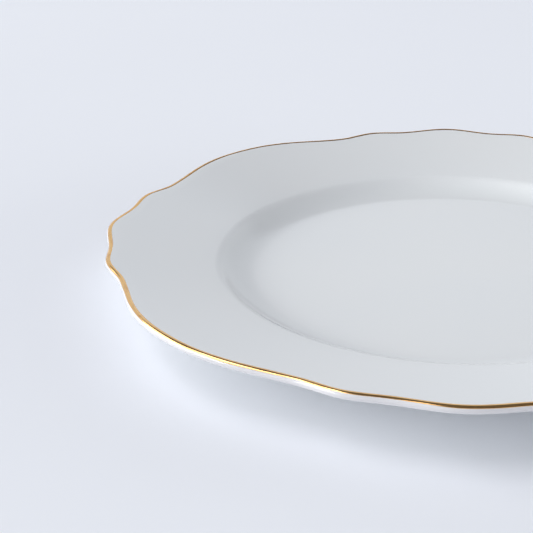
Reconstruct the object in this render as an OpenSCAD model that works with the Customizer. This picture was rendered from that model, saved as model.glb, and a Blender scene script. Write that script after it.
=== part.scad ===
// China dinner plate with a scalloped, gold-edged rim.
//
// A real plate is one pressed and fired porcelain body. Two glass coats are fired onto it:
// one runs over the face, round the lip and down the back to the foot ring, and the other
// covers the recess inside the foot ring. The foot's resting face stays bare. A line of
// gold is fired onto the glaze along the lip. Each of these is a node of its own.
//
// Origin: centre of the foot ring's resting face. +Z is up. Millimetres and degrees.
// The points of the scalloped edge lie on the X and Y axes, its wide lobes between them.

/* [Rim] */
// Mean diameter of the scalloped edge, between its lobes and its notches
rim_d = 265; // [255:1:290]
// Height of the lip's upper edge above the table, at the mean diameter
rim_z = 21.5; // [20.5:0.5:26]
// Slope of the broad flange above the horizontal
flange_slope = 12; // [10:0.5:13]
// Slope of the flange's back, steeper so that the wall thickens away from the lip
back_slope = 13.4; // [13:0.2:14.4]
// Thickness of the lip, with its glaze
lip_t = 2.7; // [2.4:0.1:3.6]

/* [Scalloped edge] */
// How far each wide lobe's crest stands outside the mean edge
lobe_out = 2.4; // [0:0.1:4]
// How much broader than a plain wave the wide lobe is (1 is a plain wave)
lobe_fullness = 1.3; // [1:0.05:1.6]
// Angle from the lobe's crest to the deep notch beside it
notch_at = 22; // [20:0.5:24]
// How far the deep notch lies inside the mean edge
notch_in = 2.8; // [0:0.1:4]
// Angle from the lobe's crest to the small shoulder beyond the notch
shoulder_at = 30; // [28:0.5:31]
// How far the shoulder stands outside the mean edge
shoulder_out = 0.2; // [0:0.1:1]
// Angle from the lobe's crest to the small nick beyond the shoulder
nick_at = 35.5; // [34:0.5:38]
// How far the nick lies inside the mean edge
nick_in = 0.6; // [0:0.1:1]
// How far the point halfway between two lobes stands outside the mean edge
point_out = 2.2; // [0:0.1:4]

/* [Well] */
// Radius at which the flange turns over into the well
well_r = 92; // [88:1:94]
// Steepest slope of the well's wall
wall_slope = 38; // [32:1:40]
// Rounding of the well's upper edge
edge_round = 8.6; // [7:0.2:10]
// Rounding of the well's wall into its floor
bowl_round = 21.9; // [20:0.1:24]

/* [Foot ring] */
// Outer radius of the foot ring
foot_out_r = 79.4; // [78.5:0.1:81]
// Inner radius of the foot ring
foot_in_r = 75.9; // [72:0.1:76.4]
// Depth of the recess inside the foot ring
recess = 2.4; // [2:0.1:2.8]
// Height of the bare porcelain left round the foot
bare_band = 0.8; // [0.6:0.1:1]
// Fillet where the foot ring meets the underside
foot_fillet = 1; // [0.8:0.1:1.2]
// Rounding of the foot's two bottom corners
foot_round = 0.5; // [0.3:0.1:0.7]

/* [Glaze and gold] */
// Thickness of the glaze
glaze_t = 0.3; // [0.2:0.05:0.4]
// Thickness of the gold
gold_t = 0.15; // [0.1:0.05:0.2]
// Width of the gold line on top of the lip
gold_w = 0.8; // [0.6:0.1:2]
// How far the gold turns down over the lip's outer side
gold_wrap = 0.8; // [0.4:0.1:1.2]

/* [Hidden] */

// The scalloped edge repeats four times, and each repeat is its own mirror image
repeats = 4;
repeat_angle = 360 / repeats;
edge_step = 1.5;
arc_steps = 8;
rim_r = rim_d / 2;
// Past every lobe, so that the scalloped outline alone cuts the edge
stock_r = rim_r + 8;
// The well's back follows its face at about this distance
well_t = 3.8;
back_well_r = well_r + 1.2;
// Inside the clay: the glaze sections close here, and the body removes what lies within it
core_r = (foot_in_r + foot_out_r) / 2;
// How far a cutting outline runs past the plate, above and below
spare = 10;

function ease(t) = (1 - cos(180 * t)) / 2;
function blend(from, to, t) = from + (to - from) * ease(t);

// Angle from the nearest wide lobe's crest, which lies halfway between two points
function from_crest(angle) = abs(angle % repeat_angle - repeat_angle / 2);

// How far the edge stands outside the mean edge, at an angle from the lobe's crest
function scallop(a) =
    a < notch_at ? blend(lobe_out, -notch_in, pow(a / notch_at, lobe_fullness))
    : a < shoulder_at ? blend(-notch_in, shoulder_out, (a - notch_at) / (shoulder_at - notch_at))
    : a < nick_at ? blend(shoulder_out, -nick_in, (a - shoulder_at) / (nick_at - shoulder_at))
    : blend(-nick_in, point_out, (a - nick_at) / (repeat_angle / 2 - nick_at));

// The scalloped outline seen from above, moved outwards by grow
function outline(grow) = [
    for (a = [0 : edge_step : 360 - edge_step])
        (rim_r + scallop(from_crest(a)) + grow) * [cos(a), sin(a)]
];

// Points at distance radius from a centre, in the directions from start to end
function arc(centre, radius, start, end) = [
    for (i = [0 : arc_steps])
        let (a = start + (end - start) * i / arc_steps)
        centre + radius * [cos(a), sin(a)]
];

// Height of a surface that slopes down inwards from the lip
function flange_z(lip_z, slope, r) = lip_z - (rim_r - r) * tan(slope);

// A point of the flange's face at radius r, sunk below the finished surface by depth
function flange_point(r, depth) = [r, flange_z(rim_z, flange_slope, r) - depth / cos(flange_slope)];

// Where a flange turns over into the well: the centre of the rounded upper edge
function edge_centre(r, z, slope, round) = [r + round * sin(slope), z - round * cos(slope)];

// The centre of the bowl's rounding, above the wall that both roundings share
function bowl_centre(edge, round, bowl) = edge + (round + bowl) * [-sin(wall_slope), cos(wall_slope)];

// The face: floor, bowl, rounded upper edge and flange
face_well_z = flange_z(rim_z, flange_slope, well_r);
face_edge_c = edge_centre(well_r, face_well_z, flange_slope, edge_round);
face_bowl_c = bowl_centre(face_edge_c, edge_round, bowl_round);
floor_z = face_bowl_c[1] - bowl_round;

// The back, with the roundings that keep the wall's thickness
back_edge_round = edge_round - well_t;
back_bowl_round = bowl_round + well_t;
back_well_z = flange_z(rim_z - lip_t, back_slope, back_well_r);
back_edge_c = edge_centre(back_well_r, back_well_z, back_slope, back_edge_round);
back_bowl_c = bowl_centre(back_edge_c, back_edge_round, back_bowl_round);
// Where the back's bowl runs into the foot ring's fillet
foot_meet = asin((foot_out_r + foot_fillet - back_bowl_c[0]) / (back_bowl_round + foot_fillet));
foot_fillet_c = back_bowl_c + (back_bowl_round + foot_fillet) * [sin(foot_meet), -cos(foot_meet)];
core_z = (floor_z + recess) / 2;

// From the axis outwards over the face, sunk below the finished surface by depth
function face_path(depth) = concat(
    [[0, floor_z - depth]],
    arc(face_bowl_c, bowl_round + depth, -90, wall_slope - 90),
    arc(face_edge_c, edge_round - depth, wall_slope + 90, flange_slope + 90),
    [flange_point(stock_r, depth)]
);

// From the stock's edge inwards along the back to the foot ring's outer side
function back_path(depth) = concat(
    [[stock_r, flange_z(rim_z - lip_t, back_slope, stock_r) + depth / cos(back_slope)]],
    arc(back_edge_c, back_edge_round + depth, back_slope + 90, wall_slope + 90),
    arc(back_bowl_c, back_bowl_round - depth, wall_slope - 90, foot_meet - 90),
    arc(foot_fillet_c, foot_fillet + depth, foot_meet + 90, 180),
    [[foot_out_r - depth, bare_band]]
);

// The bare foot, from its outer side round to its inner side
function foot_path(depth) = concat(
    arc([foot_out_r - depth - foot_round, foot_round], foot_round, 0, -90),
    arc([foot_in_r + depth + foot_round, foot_round], foot_round, -90, -180)
);

// From the foot ring's inner side up and along the recess to the axis
function recess_path(depth) = concat(
    [[foot_in_r + depth, bare_band]],
    arc([foot_in_r - foot_fillet, recess - foot_fillet], foot_fillet + depth, 0, 90),
    [[0, recess + depth]]
);

// Everything within the scalloped outline, moved outwards by grow
module within_outline(grow) {
    translate([0, 0, -spare]) linear_extrude(rim_z + 2 * spare) polygon(outline(grow));
}

// A turned solid, cut to the scalloped outline
module scalloped(section, grow) {
    intersection() {
        rotate_extrude() polygon(section);
        within_outline(grow);
    }
}

// The pressed porcelain: well, flange and foot ring in one piece
module clay() {
    upper = concat(face_path(glaze_t), back_path(glaze_t));
    lower = concat(foot_path(glaze_t), recess_path(glaze_t));
    scalloped(concat(upper, lower), -glaze_t);
}

module porcelain_body() {
    color([0.93, 0.92, 0.9]) clay();
}

// The coat over the face, round the lip and down the back to the bare band of the foot
module face_and_back_glaze() {
    core = [[core_r, bare_band], [core_r, core_z], [0, core_z]];
    color([0.88, 0.89, 0.91]) difference() {
        scalloped(concat(face_path(0), back_path(0), core), 0);
        clay();
    }
}

// The coat inside the foot ring
module foot_recess_glaze() {
    core = [[0, core_z], [core_r, core_z], [core_r, bare_band]];
    color([0.86, 0.88, 0.9]) difference() {
        rotate_extrude() polygon(concat(core, recess_path(0)));
        clay();
    }
}

// The flange's outer part, from rise above its finished surface to sink below it
function flange_band(rise, sink) = [
    flange_point(well_r, -rise),
    flange_point(stock_r, -rise),
    flange_point(stock_r, sink),
    flange_point(well_r, sink)
];

// The gold: a thin band on top of the lip that turns down over its outer side
module gold_edge_line() {
    color([0.8, 0.6, 0.25]) difference() {
        scalloped(flange_band(gold_t, gold_wrap), gold_t);
        scalloped(flange_band(0, 2 * gold_wrap), 0);
        within_outline(-gold_w);
    }
}

porcelain_body();
face_and_back_glaze();
foot_recess_glaze();
gold_edge_line();
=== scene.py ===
"""Looks of the china dinner plate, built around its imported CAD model. Metres, +Z up."""

import math
from collections import namedtuple

import bpy
from mathutils import Matrix, Vector


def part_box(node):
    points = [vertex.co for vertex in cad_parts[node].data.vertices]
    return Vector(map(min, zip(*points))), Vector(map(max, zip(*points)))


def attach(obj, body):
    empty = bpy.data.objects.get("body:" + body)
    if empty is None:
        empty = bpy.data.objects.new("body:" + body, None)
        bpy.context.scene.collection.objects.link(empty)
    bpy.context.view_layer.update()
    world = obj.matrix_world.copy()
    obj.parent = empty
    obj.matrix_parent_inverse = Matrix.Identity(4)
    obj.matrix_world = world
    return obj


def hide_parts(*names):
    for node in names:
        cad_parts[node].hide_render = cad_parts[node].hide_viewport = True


MM = 0.001

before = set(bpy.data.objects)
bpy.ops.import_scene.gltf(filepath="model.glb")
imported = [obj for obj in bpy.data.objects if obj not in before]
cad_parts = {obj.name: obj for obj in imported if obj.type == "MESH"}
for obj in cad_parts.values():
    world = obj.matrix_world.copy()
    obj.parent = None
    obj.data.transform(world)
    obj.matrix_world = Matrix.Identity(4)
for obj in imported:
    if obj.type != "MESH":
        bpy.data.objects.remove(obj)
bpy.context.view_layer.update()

# ---------------------------------------------------------------- sizes, in millimetres
FLANGE_SLOPE = math.radians(12)
BACK_SLOPE = math.radians(13.4)
WALL_SLOPE = math.radians(38)
LIP_T = 2.7
# The lip is rounded over at the top and at the bottom, with a short wall between
LIP_TOP_ROUND = 1.35
LIP_BOTTOM_ROUND = 1.2

# The scalloped edge: offsets from the mean edge, at angles from a wide lobe's crest
REPEAT = 90
LOBE_OUT, LOBE_FULLNESS = 2.4, 1.3
NOTCH_AT, NOTCH_IN = 22, 2.8
SHOULDER_AT, SHOULDER_OUT = 30, 0.2
NICK_AT, NICK_IN = 35.5, 0.6
POINT_OUT = 2.2

EDGE_ROUND, BOWL_ROUND = 8.6, 21.9
WELL_R = 92
WALL_T = 3.8
BACK_WELL_R = WELL_R + 1.2
FOOT_W, FOOT_FILLET, FOOT_ROUND = 3.5, 1, 0.5
GLAZE_T = 0.3

# Radii of the rings of vertices on the well's flat floor and on the recess's ceiling
FLOOR_RADII = (0, 6, 14, 24, 36, 48, 58, 66, 71)
RECESS_RADII = (66, 52, 38, 24, 12, 0)
# Steps along each curved part of the section
FLANGE_STEPS = 12
EDGE_STEPS = 8
BOWL_STEPS = 16
LIP_TOP_STEPS = 10
LIP_BOTTOM_STEPS = 8
BACK_BOWL_STEPS = 12
FILLET_STEPS = 8
FOOT_STEPS = 6
# Steps round the plate, for the china and for the gold
TURNS = 456
FINE_TURNS = 720

# What the frame says: the points of the edge lie on the axes, the lobes' crests are highest
glaze_low, glaze_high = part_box("face_and_back_glaze")
recess_low, recess_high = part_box("foot_recess_glaze")
RIM_R = glaze_high.x / MM - POINT_OUT
RIM_Z = glaze_high.z / MM - LOBE_OUT * math.tan(FLANGE_SLOPE)
BARE_BAND = glaze_low.z / MM
FOOT_IN_R = recess_high.x / MM - GLAZE_T
FOOT_OUT_R = FOOT_IN_R + FOOT_W
RECESS = recess_high.z / MM - GLAZE_T

# The scallop sets in between these two radii, and holds in full from there to the lip
TURNED_R = 98
SCALLOPED_R = RIM_R - 6

QUARTER = math.pi / 2


def ease(t):
    """A smooth rise from 0 to 1."""
    return (1 - math.cos(math.pi * min(max(t, 0), 1))) / 2


def blend(start, end, t):
    return start + (end - start) * ease(t)


def scallop(angle):
    """How far the edge stands outside the mean edge, at an angle in degrees."""
    a = abs(angle % REPEAT - REPEAT / 2)
    if a < NOTCH_AT:
        return blend(LOBE_OUT, -NOTCH_IN, (a / NOTCH_AT) ** LOBE_FULLNESS)
    if a < SHOULDER_AT:
        return blend(-NOTCH_IN, SHOULDER_OUT, (a - NOTCH_AT) / (SHOULDER_AT - NOTCH_AT))
    if a < NICK_AT:
        return blend(SHOULDER_OUT, -NICK_IN, (a - SHOULDER_AT) / (NICK_AT - SHOULDER_AT))
    return blend(-NICK_IN, POINT_OUT, (a - NICK_AT) / (REPEAT / 2 - NICK_AT))


# ---------------------------------------------------------------- the plate's section
# A section point at the mean edge. follow is how much of the scallop's offset it takes up, slope
# is the slope of the surface that it then slides along, and pool is how much glaze gathers there,
# below zero over the lip, where the glaze runs thin and the material paints shade on the lip.
Point = namedtuple("Point", "r z follow slope pool", defaults=(0, 0, 0))


def arc(centre, radius, start, end, steps, follow=0, slope=0, pool=0):
    """Section points round a centre (r, z), between two directions in radians."""
    points = []
    for i in range(steps + 1):
        a = start + (end - start) * i / steps
        r = centre[0] + radius * math.cos(a)
        z = centre[1] + radius * math.sin(a)
        points.append(Point(r, z, follow, slope, pool * math.sin(math.pi * i / steps)))
    return points


def surface_z(lip_z, slope, r):
    return lip_z - (RIM_R - r) * math.tan(slope)


def well_centres(r, z, slope, edge, bowl):
    """Centres of the two roundings by which a flange turns over and runs into the floor."""
    edge_c = (r + edge * math.sin(slope), z - edge * math.cos(slope))
    reach = edge + bowl
    bowl_c = (edge_c[0] - reach * math.sin(WALL_SLOPE), edge_c[1] + reach * math.cos(WALL_SLOPE))
    return edge_c, bowl_c


FACE_EDGE_C, FACE_BOWL_C = well_centres(
    WELL_R, surface_z(RIM_Z, FLANGE_SLOPE, WELL_R), FLANGE_SLOPE, EDGE_ROUND, BOWL_ROUND)
FLOOR_Z = FACE_BOWL_C[1] - BOWL_ROUND
BACK_EDGE_ROUND = EDGE_ROUND - WALL_T
BACK_BOWL_ROUND = BOWL_ROUND + WALL_T
BACK_WELL_Z = surface_z(RIM_Z - LIP_T, BACK_SLOPE, BACK_WELL_R)
BACK_EDGE_C, BACK_BOWL_C = well_centres(
    BACK_WELL_R, BACK_WELL_Z, BACK_SLOPE, BACK_EDGE_ROUND, BACK_BOWL_ROUND)

# The foot ring's fillet touches the back's bowl and the foot ring's outer side
FILLET_REACH = BACK_BOWL_ROUND + FOOT_FILLET
FOOT_MEET = math.asin((FOOT_OUT_R + FOOT_FILLET - BACK_BOWL_C[0]) / FILLET_REACH)
FOOT_FILLET_C = (
    BACK_BOWL_C[0] + FILLET_REACH * math.sin(FOOT_MEET),
    BACK_BOWL_C[1] - FILLET_REACH * math.cos(FOOT_MEET),
)

# The lip's roundings touch the outermost edge and the flange's face or back. Their centres lie
# this many of their radii below the lip's upper edge, and above its lower edge.
LIP_TOP_DROP = math.cos(FLANGE_SLOPE) + (1 + math.sin(FLANGE_SLOPE)) * math.tan(FLANGE_SLOPE)
LIP_BOTTOM_RISE = math.cos(BACK_SLOPE) - (1 - math.sin(BACK_SLOPE)) * math.tan(BACK_SLOPE)
LIP_TOP_C = (RIM_R - LIP_TOP_ROUND, RIM_Z - LIP_TOP_ROUND * LIP_TOP_DROP)
LIP_BOTTOM_C = (RIM_R - LIP_BOTTOM_ROUND, RIM_Z - LIP_T + LIP_BOTTOM_ROUND * LIP_BOTTOM_RISE)


def flange(lip_z, slope, depth, outwards):
    """A flange's surface where the scallop sets in, sunk below the finished one by depth."""
    points = []
    for i in range(FLANGE_STEPS + 1):
        t = i / FLANGE_STEPS
        r = TURNED_R + (SCALLOPED_R - TURNED_R) * t
        z = surface_z(lip_z, slope, r) - depth / math.cos(slope)
        points.append(Point(r, z, ease(t), slope))
    return points if outwards else points[::-1]


def face_path(depth):
    """From the axis over the face to the lip."""
    floor = [Point(r, FLOOR_Z - depth) for r in FLOOR_RADII]
    bowl = arc(
        FACE_BOWL_C, BOWL_ROUND + depth, -QUARTER, WALL_SLOPE - QUARTER, BOWL_STEPS, pool=1)
    edge = arc(
        FACE_EDGE_C, EDGE_ROUND - depth, WALL_SLOPE + QUARTER, FLANGE_SLOPE + QUARTER, EDGE_STEPS)
    return floor + bowl + edge[1:] + flange(RIM_Z, FLANGE_SLOPE, depth, outwards=True)


def lip_path(depth):
    """Over the lip, from the face to the back. The glaze runs thin there, and the lip is marked
    for painted shade.
    """
    top = arc(
        LIP_TOP_C, LIP_TOP_ROUND - depth, FLANGE_SLOPE + QUARTER, 0, LIP_TOP_STEPS,
        follow=1, slope=FLANGE_SLOPE)
    bottom = arc(
        LIP_BOTTOM_C, LIP_BOTTOM_ROUND - depth, 0, BACK_SLOPE - QUARTER, LIP_BOTTOM_STEPS,
        follow=1, slope=FLANGE_SLOPE)
    lip = top + bottom
    last = len(lip) - 1
    # Negative pool over the lip: thin glaze, and painted shade that the material darkens the lip
    # with
    return [point._replace(pool=-math.sin(math.pi * i / last)) for i, point in enumerate(lip)]


def back_path(depth):
    """From the lip along the back, down the foot ring's outer side to its bare band."""
    edge = arc(
        BACK_EDGE_C, BACK_EDGE_ROUND + depth, BACK_SLOPE + QUARTER, WALL_SLOPE + QUARTER,
        EDGE_STEPS)
    bowl = arc(
        BACK_BOWL_C, BACK_BOWL_ROUND - depth, WALL_SLOPE - QUARTER, FOOT_MEET - QUARTER,
        BACK_BOWL_STEPS)
    fillet = arc(
        FOOT_FILLET_C, FOOT_FILLET + depth, FOOT_MEET + QUARTER, 2 * QUARTER, FILLET_STEPS, pool=1)
    foot = [Point(FOOT_OUT_R - depth, BARE_BAND)]
    under_flange = flange(RIM_Z - LIP_T, BACK_SLOPE, -depth, outwards=False)
    return under_flange + edge + bowl[1:] + fillet[1:] + foot


def foot_path():
    """The bare foot's rounded and ground bottom, from its outer side to its inner side."""
    outer_c = (FOOT_OUT_R - GLAZE_T - FOOT_ROUND, FOOT_ROUND)
    inner_c = (FOOT_IN_R + GLAZE_T + FOOT_ROUND, FOOT_ROUND)
    outer = arc(outer_c, FOOT_ROUND, 0, -QUARTER, FOOT_STEPS)
    inner = arc(inner_c, FOOT_ROUND, -QUARTER, -2 * QUARTER, FOOT_STEPS)
    return outer + inner


def recess_path(depth):
    """From the foot ring's bare band up its inner side and over the recess to the axis."""
    side = [Point(FOOT_IN_R + depth, BARE_BAND)]
    centre = (FOOT_IN_R - FOOT_FILLET, RECESS - FOOT_FILLET)
    fillet = arc(centre, FOOT_FILLET + depth, 0, QUARTER, FILLET_STEPS, pool=1)
    ceiling = [Point(r, RECESS + depth) for r in RECESS_RADII]
    return side + fillet + ceiling


# ---------------------------------------------------------------- meshes
Turned = namedtuple("Turned", "vertices faces sources")


def direction(angle):
    """The direction (x, y) from the axis at an angle in degrees round the plate."""
    a = math.radians(angle)
    return math.cos(a), math.sin(a)


def place(point, angle):
    """A section point's place in metres, at an angle in degrees round the plate."""
    offset = point.follow * scallop(angle)
    r = (point.r + offset) * MM
    x, y = direction(angle)
    return (r * x, r * y, (point.z + offset * math.tan(point.slope)) * MM)


def turned(section, turns, closed, place_point=place):
    """A section carried round the plate. sources says which entry and angle made each vertex.

    A section runs so that the solid lies on its right, seen with the axis on the left.
    """
    vertices, sources, rings = [], [], []
    for entry in section:
        start = len(vertices)
        on_axis = place_point(entry, 0)[:2] == (0, 0)
        angles = [0] if on_axis else [360 * i / turns for i in range(turns)]
        vertices += [place_point(entry, angle) for angle in angles]
        sources += [(entry, angle) for angle in angles]
        rings.append([start] * turns if on_axis else range(start, start + turns))
    pairs = list(zip(rings, rings[1:]))
    if closed:
        pairs.append((rings[-1], rings[0]))
    faces = []
    for here, there in pairs:
        for i in range(turns):
            j = (i + 1) % turns
            corners = list(dict.fromkeys((here[i], there[i], there[j], here[j])))
            if len(corners) > 2:
                faces.append(corners)
    return Turned(vertices, faces, sources)


def link(name, data):
    """A new object in the scene."""
    made = bpy.data.objects.new(name, data)
    bpy.context.scene.collection.objects.link(made)
    return made


def make_piece(name, shape, material, node):
    """A smooth mesh piece that takes the place of one CAD node."""
    mesh = bpy.data.meshes.new(name)
    mesh.from_pydata(shape.vertices, [], shape.faces)
    for polygon in mesh.polygons:
        polygon.use_smooth = True
    mesh.materials.append(material)
    piece = link(name, mesh)
    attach(piece, "root")
    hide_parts(node)
    return piece


def mark(piece, name, values):
    """Stores one number for each vertex, which the piece's material reads."""
    attribute = piece.data.attributes.new(name, "FLOAT", "POINT")
    attribute.data.foreach_set("value", values)


def mark_vectors(piece, name, vectors):
    """Stores one vector for each vertex, which the piece's material reads."""
    attribute = piece.data.attributes.new(name, "FLOAT_VECTOR", "POINT")
    attribute.data.foreach_set("vector", [number for vector in vectors for number in vector])


# ---------------------------------------------------------------- materials
class Shading:
    """A new node material, with short ways to add nodes in front of its shader."""

    def __init__(self, name, **constants):
        self.material = bpy.data.materials.new(name)
        self.material.use_nodes = True
        self.tree = self.material.node_tree
        self.shader = self.tree.nodes["Principled BSDF"]
        for socket, value in constants.items():
            self.shader.inputs[socket.replace("_", " ")].default_value = value

    def node(self, kind, **settings):
        made = self.tree.nodes.new(kind)
        for key, value in settings.items():
            setattr(made, key, value)
        return made

    def feed(self, socket, source):
        """Sets a node's socket from another node's output or from a plain value."""
        if isinstance(source, bpy.types.NodeSocket):
            self.tree.links.new(source, socket)
        else:
            socket.default_value = source

    def noise(self, scale, detail=2.0, vector=None):
        made = self.node("ShaderNodeTexNoise")
        self.feed(made.inputs["Vector"], vector or self.object_space())
        made.inputs["Scale"].default_value = scale
        made.inputs["Detail"].default_value = detail
        return made.outputs["Fac"]

    def object_space(self):
        return self.node("ShaderNodeTexCoord").outputs["Object"]

    def attribute(self, name, output):
        return self.node("ShaderNodeAttribute", attribute_name=name).outputs[output]

    def scaled(self, vector, factors):
        made = self.node("ShaderNodeVectorMath", operation="MULTIPLY")
        self.feed(made.inputs[0], vector)
        self.feed(made.inputs[1], factors)
        return made.outputs["Vector"]

    def between(self, factor, low, high, start=0.3, end=0.7):
        """A number that runs from low to high while the factor runs from start to end."""
        made = self.node("ShaderNodeMapRange")
        self.feed(made.inputs["Value"], factor)
        limits = {"From Min": start, "From Max": end, "To Min": low, "To Max": high}
        for socket, value in limits.items():
            made.inputs[socket].default_value = value
        return made.outputs["Result"]

    def mixed(self, factor, first, second):
        """A colour between two others, which are colours or outputs."""
        made = self.node("ShaderNodeMix", data_type="RGBA")
        self.feed(made.inputs["Factor"], factor)
        for socket, colour in zip([i for i in made.inputs if i.type == "RGBA"], (first, second)):
            self.feed(socket, colour if isinstance(colour, bpy.types.NodeSocket) else (*colour, 1))
        return next(o for o in made.outputs if o.type == "RGBA")

    def bump(self, height, distance, strength, below=None):
        made = self.node("ShaderNodeBump")
        self.feed(made.inputs["Height"], height)
        made.inputs["Distance"].default_value = distance
        made.inputs["Strength"].default_value = strength
        if below is not None:
            self.feed(made.inputs["Normal"], below)
        return made.outputs["Normal"]

    def colour(self, source):
        self.feed(self.shader.inputs["Base Color"], source)

    def roughness(self, source):
        self.feed(self.shader.inputs["Roughness"], source)

    def normal(self, source):
        self.feed(self.shader.inputs["Normal"], source)


def tinted(colour, tint):
    """A colour with each of its channels scaled by the tint's."""
    return [channel * share for channel, share in zip(colour, tint)]


# How the glaze colours the white china: in patches, where it pools, and over the lip, where it
# runs thin and shade is painted in
COOL_TINT = (0.985, 0.992, 1.0)
POOLED_TINT = (0.97, 0.982, 0.986)
# Over the lip: the thin glaze's grey, and painted shade that darkens the lip
THIN_GLAZE_AND_SHADE_TINT = (0.84, 0.81, 0.83)
CHINA_WHITE = (0.775, 0.78, 0.785)
RECESS_WHITE = (0.765, 0.77, 0.775)
GLASS_IOR = 1.52

CLAY_PALE, CLAY_WARM, CLAY_GROUND = (0.8, 0.775, 0.73), (0.72, 0.695, 0.645), (0.52, 0.51, 0.49)
GOLD_BRIGHT, GOLD_DEEP, GOLD_THIN = (0.93, 0.58, 0.24), (0.86, 0.5, 0.185), (0.74, 0.4, 0.15)
PAPER_LIGHT, PAPER_DARK = (0.861, 0.871, 0.915), (0.851, 0.861, 0.905)


def glaze_material(name, white):
    """Clear glass over white china: glossy, with a faint orange peel.

    It is bluer where it pools. Over the lip it is greyer and darker, from thin glaze and from
    painted shade.
    """
    shading = Shading(name, IOR=GLASS_IOR)
    patches = shading.between(shading.noise(scale=16), 0, 1)
    even = shading.mixed(patches, white, tinted(white, COOL_TINT))
    pool = shading.attribute("pool", "Fac")
    pooling = shading.between(pool, 0, 0.7, start=0, end=1)
    # Painted shade: darkens the lip's rounded outer side, together with the thin glaze's grey tint
    thinning_and_shade = shading.between(pool, 1, 0, start=-1, end=0)
    gathered = shading.mixed(pooling, even, tinted(white, POOLED_TINT))
    shading.colour(shading.mixed(thinning_and_shade, gathered, tinted(white, THIN_GLAZE_AND_SHADE_TINT)))
    shading.roughness(shading.between(shading.noise(scale=45), 0.05, 0.09))
    peel = shading.bump(shading.noise(scale=230, detail=1), distance=0.0002, strength=0.035)
    swell = shading.noise(scale=30, detail=1)
    shading.normal(shading.bump(swell, distance=0.001, strength=0.02, below=peel))
    return shading.material


def bare_china_material():
    """Unglazed china of the foot: matte, grainy, and greyed where it is ground flat."""
    shading = Shading("bare_porcelain")
    grain = shading.noise(scale=2600, detail=3)
    speckle = shading.between(grain, 0, 1)
    clay = shading.mixed(speckle, CLAY_PALE, CLAY_WARM)
    around = shading.scaled(shading.attribute("around", "Vector"), (1, 1, 60))
    scratches = shading.noise(scale=9, detail=4, vector=around)
    rubbed = shading.between(scratches, 0, 0.55, start=0.45, end=0.75)
    shading.colour(shading.mixed(rubbed, clay, CLAY_GROUND))
    shading.roughness(shading.between(grain, 0.5, 0.72))
    shading.normal(shading.bump(grain, distance=0.0001, strength=0.35))
    return shading.material


def gold_material():
    """Fired bright gold: brush streaks along the line, thinner and browner in places."""
    shading = Shading("fired_gold", Metallic=1.0)
    along = shading.attribute("brush", "Vector")
    streaks = shading.noise(scale=1, detail=3, vector=shading.scaled(along, (9, 9, 7)))
    patches = shading.noise(scale=1, vector=shading.scaled(along, (30, 30, 1.5)))
    thin = shading.between(patches, 0, 1, start=0.5, end=0.75)
    brushed = shading.mixed(shading.between(streaks, 0, 1), GOLD_BRIGHT, GOLD_DEEP)
    shading.colour(shading.mixed(thin, brushed, GOLD_THIN))
    shading.roughness(shading.between(streaks, 0.1, 0.2))
    shading.normal(shading.bump(streaks, distance=0.00002, strength=0.25))
    return shading.material


# ---------------------------------------------------------------- the pieces
def pools(shape):
    return [point.pool for point, angle in shape.sources]


# The clay, glazed over everywhere but on the foot
clay_under_coat = face_path(GLAZE_T) + lip_path(GLAZE_T) + back_path(GLAZE_T)
body_section = clay_under_coat + foot_path() + recess_path(GLAZE_T)
body_shape = turned(body_section, TURNS, closed=False)
body = make_piece(
    "china_body", body_shape, bare_china_material(), "porcelain_body")
# Where each vertex lies: its direction from the axis, and its radius in centimetres
mark_vectors(body, "around", [
    (*direction(angle), point.r / 10) for point, angle in body_shape.sources])

coat_outside = face_path(0) + lip_path(0) + back_path(0)
coat_shape = turned(coat_outside + clay_under_coat[::-1], TURNS, closed=False)
coat = make_piece(
    "outer_glaze_coat", coat_shape, glaze_material("clear_glaze_on_white", CHINA_WHITE),
    "face_and_back_glaze")
mark(coat, "pool", pools(coat_shape))

recess_shape = turned(recess_path(0) + recess_path(GLAZE_T)[::-1], TURNS, closed=True)
recess_coat = make_piece(
    "recess_glaze_coat", recess_shape, glaze_material("clear_glaze_in_recess", RECESS_WHITE),
    "foot_recess_glaze")
mark(recess_coat, "pool", pools(recess_shape))

# The gold: from a little way onto the flange, over the lip's crest and down its outer side.
# Its widths run along the surface, from where the flange meets the lip's rounding.
GOLD_T = 0.05
GOLD_ON_FLANGE = 0.6
GOLD_OVER_LIP = 1.35
GOLD_STEPS = 14
# The brush wavers: waves round the plate, their starts in degrees, and how far they move an edge
INNER_WAVER = ((2, 260, 0.16), (7, 40, 0.05), (19, 200, 0.05), (43, 90, 0.03))
OUTER_WAVER = ((5, 120, 0.05), (9, 117, 0.14), (23, 10, 0.04), (57, 250, 0.03))


def waver(waves, angle):
    """How far an edge of the gold moves, at an angle in degrees."""
    shares = [size * math.sin(math.radians(count * angle + start)) for count, start, size in waves]
    return sum(shares)


def place_gold(entry, angle):
    """A point of the gold: across runs over its width, lift is its height above the glaze."""
    across, lift = entry
    inner = -GOLD_ON_FLANGE - waver(INNER_WAVER, angle)
    outer = GOLD_OVER_LIP + waver(OUTER_WAVER, angle)
    along = inner + across * (outer - inner)
    turn = FLANGE_SLOPE + QUARTER - max(along, 0) / LIP_TOP_ROUND
    back = min(along, 0)
    r = LIP_TOP_C[0] + (LIP_TOP_ROUND + lift) * math.cos(turn) + back * math.cos(FLANGE_SLOPE)
    z = LIP_TOP_C[1] + (LIP_TOP_ROUND + lift) * math.sin(turn) + back * math.sin(FLANGE_SLOPE)
    return place(Point(r, z, 1, FLANGE_SLOPE), angle)


ACROSS = [i / GOLD_STEPS for i in range(GOLD_STEPS + 1)]
gold_top = [(across, GOLD_T * math.sin(math.pi * across) ** 0.5) for across in ACROSS]
gold_bottom = [(across, -GOLD_T) for across in reversed(ACROSS)]
gold_shape = turned(gold_top + gold_bottom, FINE_TURNS, closed=True, place_point=place_gold)
gold = make_piece("gold_line", gold_shape, gold_material(), "gold_edge_line")
mark_vectors(gold, "brush", [
    (*direction(angle), across) for (across, lift), angle in gold_shape.sources])


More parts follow.
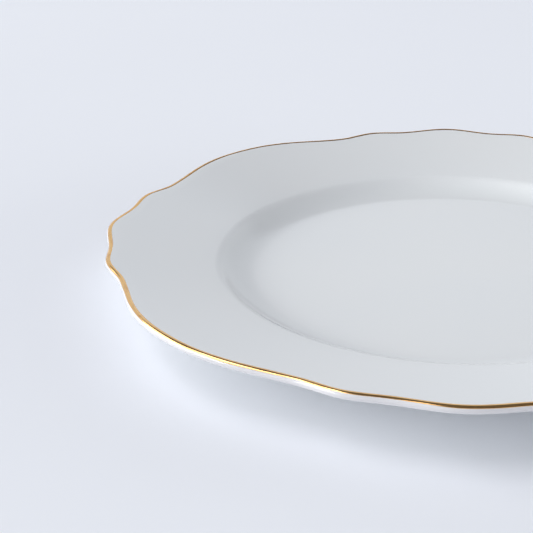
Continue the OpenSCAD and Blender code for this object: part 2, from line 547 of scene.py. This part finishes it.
# ---------------------------------------------------------------- floor, light and camera
def floor_material():
    """Matte pale paper, very faintly uneven."""
    shading = Shading("pale_floor", Specular_IOR_Level=0.0)
    patches = shading.between(shading.noise(scale=3), 0, 1)
    shading.colour(shading.mixed(patches, PAPER_LIGHT, PAPER_DARK))
    shading.roughness(shading.between(shading.noise(scale=60), 0.8, 0.9))
    return shading.material


FLOOR_HALF = 6.0
CORNERS = ((-1, -1), (1, -1), (1, 1), (-1, 1))
floor_corners = [(x * FLOOR_HALF, y * FLOOR_HALF, 0) for x, y in CORNERS]
floor_mesh = bpy.data.meshes.new("floor")
floor_mesh.from_pydata(floor_corners, [], [(0, 1, 2, 3)])
floor_mesh.materials.append(floor_material())
link("floor", floor_mesh)

# The room: a pale backdrop low down all round, and a dark ceiling.
# Each stop is the sine of an elevation and a colour.
ROOM = (
    (0.0, (0.81, 0.85, 0.905)),
    (0.48, (0.74, 0.78, 0.83)),
    (0.6, (0.14, 0.14, 0.15)),
)
world = bpy.data.worlds.new("studio")
world.use_nodes = True
nodes, links = world.node_tree.nodes, world.node_tree.links
outwards = nodes.new("ShaderNodeTexCoord")
split = nodes.new("ShaderNodeSeparateXYZ")
room = nodes.new("ShaderNodeValToRGB")
room.color_ramp.interpolation = "EASE"
stops = room.color_ramp.elements
while len(stops) < len(ROOM):
    stops.new(1)
for stop, (position, colour) in zip(stops, ROOM):
    stop.position = position
    stop.color = (*colour, 1)
links.new(outwards.outputs["Generated"], split.inputs["Vector"])
links.new(split.outputs["Z"], room.inputs["Fac"])
links.new(room.outputs["Color"], nodes["Background"].inputs["Color"])
bpy.context.scene.world = world

LIGHT_DISTANCE = 14.0


def soft_light(name, turn, rise, half_width, half_height, radiance, colour):
    """A panel facing the plate. Its direction and half sizes are angles, in degrees."""
    data = bpy.data.lights.new(name, "AREA")
    data.shape = "RECTANGLE"
    data.size = 2 * LIGHT_DISTANCE * math.tan(math.radians(half_width))
    data.size_y = 2 * LIGHT_DISTANCE * math.tan(math.radians(half_height))
    data.color = colour
    # An area light's power is pi times its radiance and its area
    data.energy = math.pi * radiance * data.size * data.size_y
    panel = link(name, data)
    x, y = direction(turn)
    level, up = direction(rise)
    towards = Vector((level * x, level * y, up))
    panel.location = towards * LIGHT_DISTANCE
    panel.rotation_euler = towards.to_track_quat("Z", "Y").to_euler()
    panel.visible_camera = False


# Each light: its name, turn, rise, half width, half height, radiance and colour
LIGHTS = (
    ("window", 189, 16, 30, 10, 7.0, (0.97, 1.0, 0.97)),
    ("upper_window", 176, 36, 28, 8, 3.1, (0.97, 1.0, 1.0)),
    ("skylight", 187, 60, 20, 10, 3.2, (1.0, 1.0, 1.08)),
    ("fill", 350, 8, 30, 8, 3.1, (0.96, 1.0, 0.97)),
)
for light in LIGHTS:
    soft_light(*light)

# The camera, placed from the plate's centre at the rim's height: to its left, back and above
CAMERA_TURN = math.radians(6.8)
CAMERA_LEFT, CAMERA_BACK, CAMERA_UP = 71.8, 445.5, 179.9
CAMERA_PITCH = math.radians(23.36)
CAMERA_ROLL = math.radians(1.18)
LENS, SENSOR_WIDTH = 84.8, 36
camera_data = bpy.data.cameras.new("camera")
camera_data.lens = LENS
camera_data.sensor_width = SENSOR_WIDTH
camera = link("camera", camera_data)
swing = Matrix.Rotation(CAMERA_TURN, 4, "Z")
camera.location = swing @ Vector((-CAMERA_LEFT, -CAMERA_BACK, CAMERA_UP + RIM_Z)) * MM
tilt = Matrix.Rotation(QUARTER - CAMERA_PITCH, 4, "X")
roll = Matrix.Rotation(-CAMERA_ROLL, 4, "Z")
camera.rotation_euler = (swing @ tilt @ roll).to_euler()
bpy.context.scene.camera = camera
bpy.context.scene.view_settings.view_transform = "Standard"
